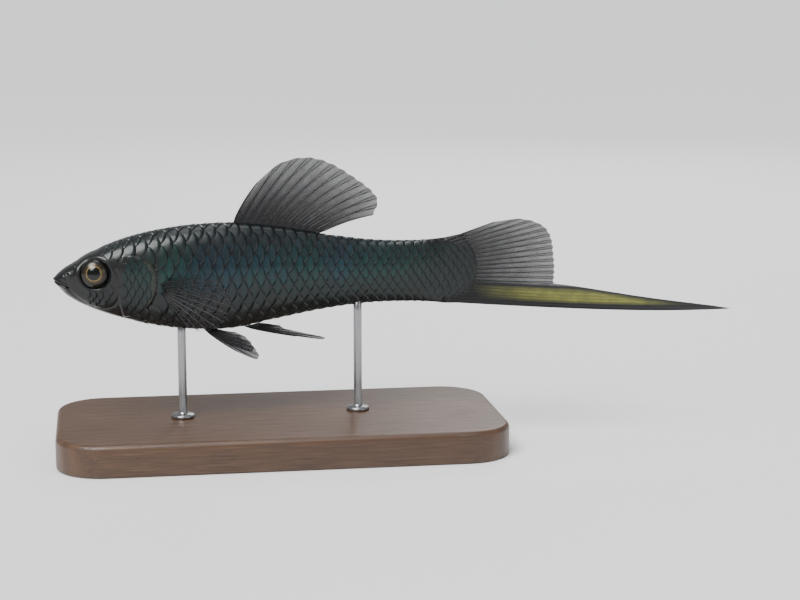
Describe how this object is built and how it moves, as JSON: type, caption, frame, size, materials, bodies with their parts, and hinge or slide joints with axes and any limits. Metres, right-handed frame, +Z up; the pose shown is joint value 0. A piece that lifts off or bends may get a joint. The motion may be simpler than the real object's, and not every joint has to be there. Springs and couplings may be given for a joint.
{
  "type": "swordtail",
  "caption": "Still, life-size model of an adult male black swordtail, an aquarium fish with a long spike on its lower tail, on a plain display stand.",
  "frame": {"origin": "centre of the flat underside of the display stand's base", "axes": "+Z up from the table, -X towards the snout, -Y towards the fish's left side"},
  "size_m": [0.1302, 0.04, 0.0548],
  "materials": {
    "black_skin": "wet black skin and scales with a blue-green sheen",
    "fin_membrane": "thin smoky membrane over darker rays",
    "eye": "glossy, dark bronze iris round a black pupil",
    "stand_wood": "satin oiled walnut",
    "stand_steel": "brushed"
  },
  "bodies": {
    "root": {"head": "black_skin", "upper_jaw": "black_skin", "lower_jaw": "black_skin", "gill_cover_left": "black_skin", "gill_cover_right": "black_skin", "trunk": "black_skin", "tail_stalk": "black_skin", "eye_left": "eye", "eye_right": "eye", "dorsal_fin": "fin_membrane", "caudal_fin": "fin_membrane", "sword": "fin_membrane", "gonopodium": "fin_membrane", "pelvic_fin_left": "fin_membrane", "pelvic_fin_right": "fin_membrane", "pectoral_fin_left": "fin_membrane", "pectoral_fin_right": "fin_membrane", "stand_base": "stand_wood", "stand_rod_front": "stand_steel", "stand_rod_rear": "stand_steel"}
  },
  "joints": []
}
